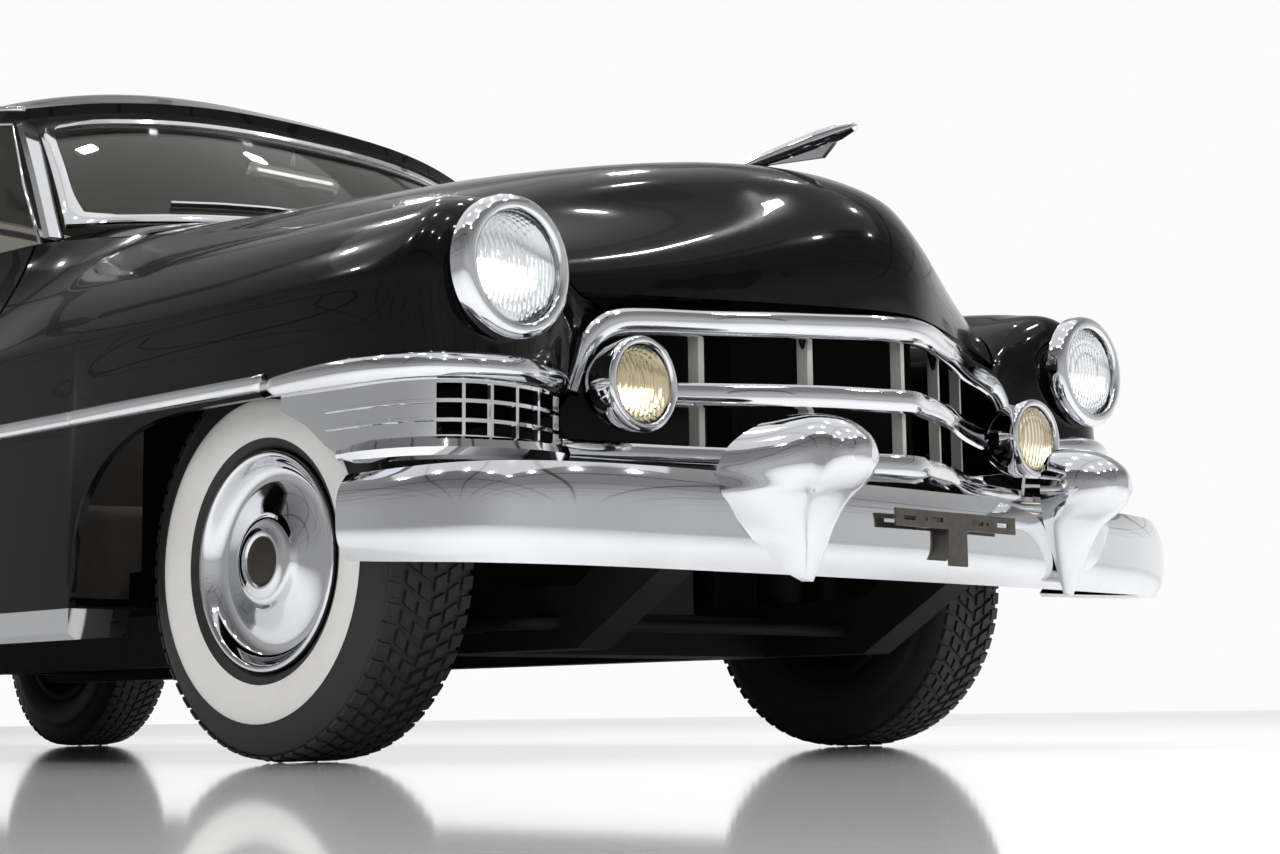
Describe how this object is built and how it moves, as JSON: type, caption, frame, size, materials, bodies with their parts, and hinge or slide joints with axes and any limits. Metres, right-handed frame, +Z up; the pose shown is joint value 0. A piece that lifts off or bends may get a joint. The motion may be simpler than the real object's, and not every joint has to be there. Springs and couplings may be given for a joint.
{
  "type": "two-door hardtop car",
  "caption": "Full-size early-1950s hardtop with opening hood, doors and deck lid, steered front wheels, bullet bumper guards and whitewall tyres.",
  "frame": {"origin": "on the floor under the middle of the car's bounding box", "axes": "+X to the car's left, the front faces -Y, +Z up"},
  "size_m": [2.0592, 5.513, 1.5958],
  "materials": {
    "paint": "black gloss enamel",
    "chrome": "polished chrome plate",
    "glass": "clear window glass",
    "frame_steel": "satin black chassis paint",
    "engine_iron": "painted casting",
    "tyre": "black rubber with a white wall",
    "red_lens": "red lamp lens in a bright rim",
    "upholstery": "dark leather",
    "black_plastic": "black moulded rim"
  },
  "bodies": {
    "body": {"frame_rails": "frame_steel", "frame_cross": "frame_steel", "floor": "frame_steel", "rockers": "chrome", "hinge_posts": "paint", "engine": "engine_iron", "radiator": "engine_iron", "front_arms": "frame_steel", "rear_axle": "frame_steel", "rear_springs": "frame_steel", "fender_l": "paint", "fender_r": "paint", "cowl": "paint", "quarter_l": "paint", "quarter_r": "paint", "rear_cowl": "paint", "tail_panel": "paint", "roof": "paint", "pillars": "paint", "windshield": "glass", "rear_window": "glass", "quarter_glass": "glass", "grille": "chrome", "end_grilles": "chrome", "headlamps": "chrome", "fog_lamps": "chrome", "tail_lamps": "red_lens", "front_bumper": "chrome", "bumper_guards": "chrome", "plate_bracket": "frame_steel", "rear_bumper": "chrome", "side_spears": "chrome", "front_seat": "upholstery", "rear_seat": "upholstery", "dashboard": "paint", "steering_column": "frame_steel", "window_frames": "chrome", "mirror": "chrome", "wipers": "chrome"},
    "knuckle_l": {"knuckle_l": "frame_steel"},
    "knuckle_r": {"knuckle_r": "frame_steel"},
    "front_wheel_l": {"wheel_fl": "chrome", "tyre_fl": "tyre"},
    "front_wheel_r": {"wheel_fr": "chrome", "tyre_fr": "tyre"},
    "rear_wheel_l": {"wheel_rl": "chrome", "tyre_rl": "tyre"},
    "rear_wheel_r": {"wheel_rr": "chrome", "tyre_rr": "tyre"},
    "door_l": {"door_l": "paint", "door_glass_l": "glass", "door_spear_l": "chrome"},
    "door_r": {"door_r": "paint", "door_glass_r": "glass", "door_spear_r": "chrome"},
    "hood": {"hood": "paint", "hood_ornament": "chrome"},
    "deck_lid": {"deck_lid": "paint"},
    "steering_wheel": {"steering_wheel": "black_plastic"}
  },
  "joints": [
    {"name": "steer_l", "type": "hinge", "parent": "body", "child": "knuckle_l", "pos_m": [0.67, -1.81, 0.346], "axis": [0, 0, 1], "range_deg": [-30, 30]},
    {"name": "steer_r", "type": "hinge", "parent": "body", "child": "knuckle_r", "pos_m": [-0.67, -1.81, 0.346], "axis": [0, 0, 1], "range_deg": [-30, 30]},
    {"name": "front_spin_l", "type": "hinge", "parent": "knuckle_l", "child": "front_wheel_l", "pos_m": [0.757, -1.81, 0.346], "axis": [1, 0, 0], "continuous": true},
    {"name": "front_spin_r", "type": "hinge", "parent": "knuckle_r", "child": "front_wheel_r", "pos_m": [-0.757, -1.81, 0.346], "axis": [1, 0, 0], "continuous": true},
    {"name": "rear_spin_l", "type": "hinge", "parent": "body", "child": "rear_wheel_l", "pos_m": [0.8, 1.39, 0.346], "axis": [1, 0, 0], "continuous": true},
    {"name": "rear_spin_r", "type": "hinge", "parent": "body", "child": "rear_wheel_r", "pos_m": [-0.8, 1.39, 0.346], "axis": [1, 0, 0], "continuous": true},
    {"name": "steering", "type": "hinge", "parent": "body", "child": "steering_wheel", "pos_m": [0.38, -0.52, 0.99], "axis": [0, 0.829, 0.5592], "range_deg": [-545, 545]},
    {"name": "door_l_hinge", "type": "hinge", "parent": "body", "child": "door_l", "pos_m": [0.985, -0.905, 0.66], "axis": [0, 0, -1], "range_deg": [0, 65]},
    {"name": "door_r_hinge", "type": "hinge", "parent": "body", "child": "door_r", "pos_m": [-0.985, -0.905, 0.66], "axis": [0, 0, 1], "range_deg": [0, 65]},
    {"name": "hood_hinge", "type": "hinge", "parent": "body", "child": "hood", "pos_m": [0, -1.18, 1.162], "axis": [-1, 0, 0], "range_deg": [0, 45]},
    {"name": "deck_lid_hinge", "type": "hinge", "parent": "body", "child": "deck_lid", "pos_m": [0, 1.23, 1.066], "axis": [1, 0, 0], "range_deg": [0, 50]}
  ],
  "couplings": [
    {"joint": "steer_l", "follows": "steer_r", "ratio": 1},
    {"joint": "steering", "follows": "steer_r", "ratio": 18}
  ]
}
